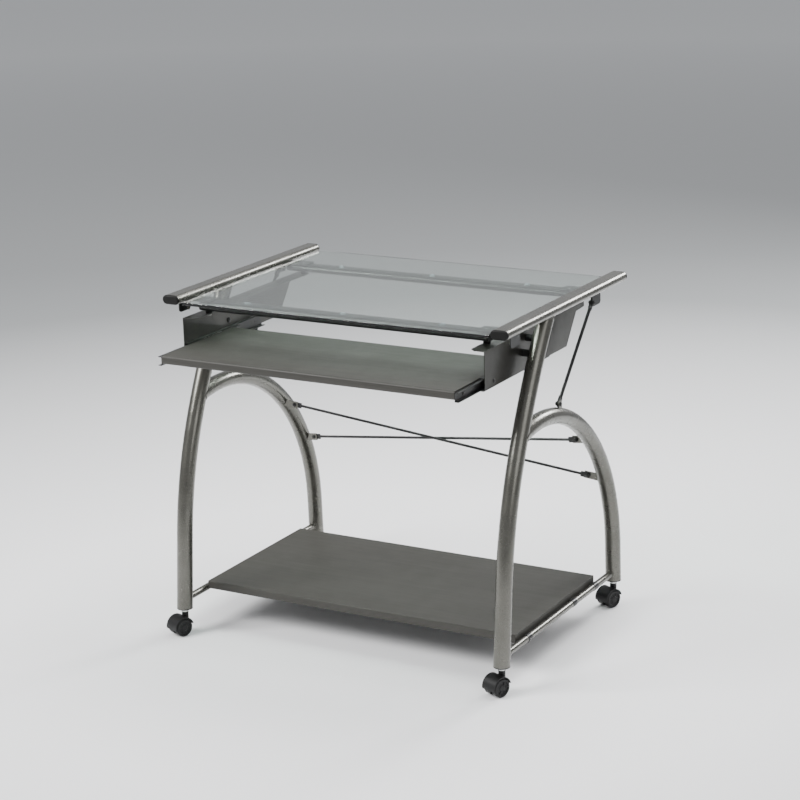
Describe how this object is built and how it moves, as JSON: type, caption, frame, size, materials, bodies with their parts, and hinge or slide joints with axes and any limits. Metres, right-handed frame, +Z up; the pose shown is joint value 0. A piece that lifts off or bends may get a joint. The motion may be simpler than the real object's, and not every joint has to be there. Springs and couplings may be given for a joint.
{
  "type": "computer desk",
  "caption": "Rolling computer desk: glass top between flat-oval rails, sliding keyboard tray, bent tube legs and rear arches, crossed braces, low shelf and swivel casters.",
  "frame": {"origin": "on the floor, under the middle of the desk's bounding box with the tray drawn out 104 mm", "axes": "+X to the sitter's right along the rails' spacing, +Y away from the sitter along the rails, +Z up"},
  "size_m": [0.8278, 0.69, 0.76],
  "materials": {
    "frame_coat": "pewter metallic powder coat, satin",
    "plate_coat": "dark pewter powder coat, satin",
    "black_steel": "black coat, semi-gloss",
    "fastener_steel": "bright zinc plate",
    "black_screw": "black zinc, semi-gloss",
    "glass": "clear tempered float glass with a polished edge",
    "clear_bumper": "clear soft vinyl",
    "laminate": "dark taupe-grey laminate on fibreboard, satin",
    "black_plastic": "moulded, fine texture",
    "caster_plastic": "moulded nylon, satin"
  },
  "bodies": {
    "base": {"rail_left": "frame_coat", "leg_left": "frame_coat", "arch_left": "frame_coat", "side_plate_left": "plate_coat", "slide_outer_left": "black_steel", "side_tube_left": "frame_coat", "stay_left": "black_steel", "brace_left": "black_steel", "rail_right": "frame_coat", "leg_right": "frame_coat", "arch_right": "frame_coat", "side_plate_right": "plate_coat", "slide_outer_right": "black_steel", "side_tube_right": "frame_coat", "stay_right": "black_steel", "brace_right": "black_steel", "crossbar_front": "black_steel", "front_brackets": "black_steel", "crossbar_rear": "black_steel", "rear_brackets": "black_steel", "rail_plugs": "black_plastic", "crossbar_plugs": "black_plastic", "glass_top": "glass", "glass_bumpers": "clear_bumper", "stud_nuts": "fastener_steel", "corner_bolts": "fastener_steel", "corner_spacers": "black_plastic", "leg_spacers": "black_plastic", "leg_screws": "black_screw", "bottom_shelf": "laminate", "plate_screws": "black_screw", "shelf_screws": "black_screw", "shelf_clips": "black_steel", "brace_screws": "black_screw", "caster_sockets": "black_plastic"},
    "tray": {"keyboard_tray": "laminate", "slide_inner_left": "black_steel", "slide_inner_right": "black_steel", "tray_screws": "black_screw"},
    "slide_cages": {"ball_cages": "fastener_steel"},
    "caster_front_left": {"caster_stem_front_left": "fastener_steel", "caster_hood_front_left": "caster_plastic", "caster_axle_front_left": "fastener_steel"},
    "wheel_front_left_left": {"wheel_front_left_left": "caster_plastic"},
    "wheel_front_left_right": {"wheel_front_left_right": "caster_plastic"},
    "caster_front_right": {"caster_stem_front_right": "fastener_steel", "caster_hood_front_right": "caster_plastic", "caster_axle_front_right": "fastener_steel"},
    "wheel_front_right_left": {"wheel_front_right_left": "caster_plastic"},
    "wheel_front_right_right": {"wheel_front_right_right": "caster_plastic"},
    "caster_rear_left": {"caster_stem_rear_left": "fastener_steel", "caster_hood_rear_left": "caster_plastic", "caster_axle_rear_left": "fastener_steel"},
    "wheel_rear_left_left": {"wheel_rear_left_left": "caster_plastic"},
    "wheel_rear_left_right": {"wheel_rear_left_right": "caster_plastic"},
    "caster_rear_right": {"caster_stem_rear_right": "fastener_steel", "caster_hood_rear_right": "caster_plastic", "caster_axle_rear_right": "fastener_steel"},
    "wheel_rear_right_left": {"wheel_rear_right_left": "caster_plastic"},
    "wheel_rear_right_right": {"wheel_rear_right_right": "caster_plastic"}
  },
  "joints": [
    {"name": "tray_slide", "type": "slide", "parent": "base", "child": "tray", "axis": [0, -1, 0], "range_m": [-0.104, 0.121]},
    {"name": "cage_slide", "type": "slide", "parent": "base", "child": "slide_cages", "axis": [0, -1, 0], "range_m": [-0.052, 0.0605]},
    {"name": "swivel_front_left", "type": "hinge", "parent": "base", "child": "caster_front_left", "pos_m": [-0.388, -0.245, 0.058], "axis": [0, 0, 1], "continuous": true},
    {"name": "roll_front_left_left", "type": "hinge", "parent": "caster_front_left", "child": "wheel_front_left_left", "pos_m": [-0.39343, -0.25844, 0.02], "axis": [0.9272, -0.3746, 0], "continuous": true},
    {"name": "roll_front_left_right", "type": "hinge", "parent": "caster_front_left", "child": "wheel_front_left_right", "pos_m": [-0.39343, -0.25844, 0.02], "axis": [0.9272, -0.3746, 0], "continuous": true},
    {"name": "swivel_front_right", "type": "hinge", "parent": "base", "child": "caster_front_right", "pos_m": [0.388, -0.245, 0.058], "axis": [0, 0, 1], "continuous": true},
    {"name": "roll_front_right_left", "type": "hinge", "parent": "caster_front_right", "child": "wheel_front_right_left", "pos_m": [0.38257, -0.25844, 0.02], "axis": [0.9272, -0.3746, 0], "continuous": true},
    {"name": "roll_front_right_right", "type": "hinge", "parent": "caster_front_right", "child": "wheel_front_right_right", "pos_m": [0.38257, -0.25844, 0.02], "axis": [0.9272, -0.3746, 0], "continuous": true},
    {"name": "swivel_rear_left", "type": "hinge", "parent": "base", "child": "caster_rear_left", "pos_m": [-0.388, 0.316, 0.058], "axis": [0, 0, 1], "continuous": true},
    {"name": "roll_rear_left_left", "type": "hinge", "parent": "caster_rear_left", "child": "wheel_rear_left_left", "pos_m": [-0.39343, 0.30256, 0.02], "axis": [0.9272, -0.3746, 0], "continuous": true},
    {"name": "roll_rear_left_right", "type": "hinge", "parent": "caster_rear_left", "child": "wheel_rear_left_right", "pos_m": [-0.39343, 0.30256, 0.02], "axis": [0.9272, -0.3746, 0], "continuous": true},
    {"name": "swivel_rear_right", "type": "hinge", "parent": "base", "child": "caster_rear_right", "pos_m": [0.388, 0.316, 0.058], "axis": [0, 0, 1], "continuous": true},
    {"name": "roll_rear_right_left", "type": "hinge", "parent": "caster_rear_right", "child": "wheel_rear_right_left", "pos_m": [0.38257, 0.30256, 0.02], "axis": [0.9272, -0.3746, 0], "continuous": true},
    {"name": "roll_rear_right_right", "type": "hinge", "parent": "caster_rear_right", "child": "wheel_rear_right_right", "pos_m": [0.38257, 0.30256, 0.02], "axis": [0.9272, -0.3746, 0], "continuous": true}
  ],
  "couplings": [
    {"joint": "cage_slide", "follows": "tray_slide", "ratio": 0.5}
  ]
}
